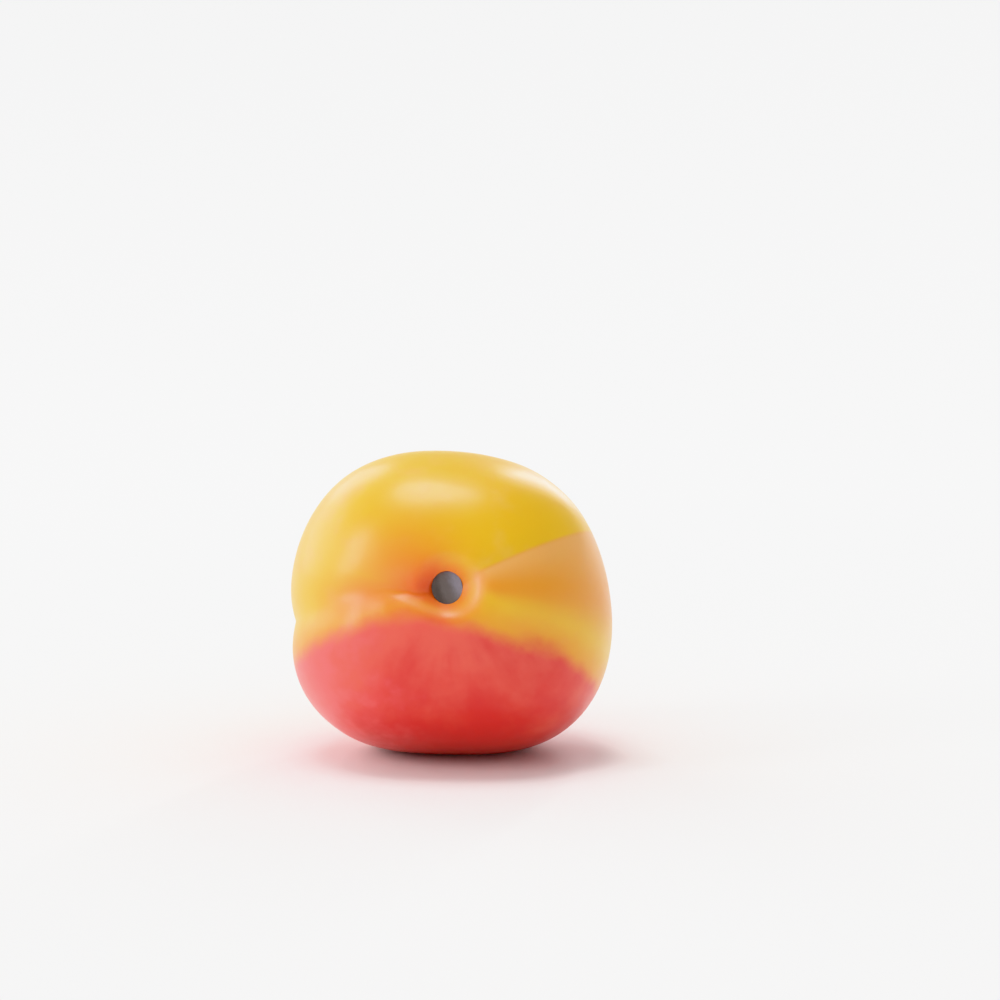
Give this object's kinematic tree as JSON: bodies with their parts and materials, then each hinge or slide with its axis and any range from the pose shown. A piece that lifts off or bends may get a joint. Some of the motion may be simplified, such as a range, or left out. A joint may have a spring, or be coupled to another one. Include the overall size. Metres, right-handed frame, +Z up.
{
  "type": "apricot",
  "caption": "Whole ripe apricot with its suture, its stem cavity and a short stalk stub, lying on its cheek on a small flat spot.",
  "frame": {"origin": "middle of the underside of the object's box, on the surface it rests on", "axes": "+Z up; the stem end faces -Y and 14.6 degrees up; +X runs across the fruit, to the right as seen from the stem end, away from the suture"},
  "size_m": [0.0518, 0.049, 0.049],
  "materials": {
    "skin": "satin, finely downy",
    "stalk": "dry, satin"
  },
  "bodies": {
    "root": {"fruit": "skin", "stem": "stalk"}
  },
  "joints": []
}
